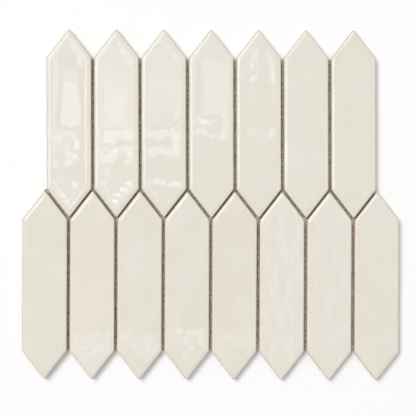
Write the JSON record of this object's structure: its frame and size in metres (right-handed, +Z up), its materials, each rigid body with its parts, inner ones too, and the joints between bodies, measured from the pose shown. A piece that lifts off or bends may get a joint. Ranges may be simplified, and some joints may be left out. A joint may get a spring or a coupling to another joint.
{
  "type": "picket tile mosaic sheet",
  "caption": "Mosaic sheet of ivory glazed picket tiles in interlocking courses, open joints, on a backing mesh.",
  "frame": {"origin": "centre of the sheet's underside, under the middle of its overall width and length", "axes": "+Z up out of the glazed faces, +X along the two courses with the course of eight in front, +Y along the tiles' points towards the course of seven"},
  "size_m": [0.3028, 0.2808, 0.0088],
  "materials": {
    "ivory_glaze": "gloss",
    "bedded_mesh": "matte"
  },
  "bodies": {
    "root": {"picket_upper_1": "ivory_glaze", "picket_upper_2": "ivory_glaze", "picket_upper_3": "ivory_glaze", "picket_upper_4": "ivory_glaze", "picket_upper_5": "ivory_glaze", "picket_upper_6": "ivory_glaze", "picket_upper_7": "ivory_glaze", "picket_lower_1": "ivory_glaze", "picket_lower_2": "ivory_glaze", "picket_lower_3": "ivory_glaze", "picket_lower_4": "ivory_glaze", "picket_lower_5": "ivory_glaze", "picket_lower_6": "ivory_glaze", "picket_lower_7": "ivory_glaze", "picket_lower_8": "ivory_glaze", "backing_mesh": "bedded_mesh"}
  },
  "joints": []
}
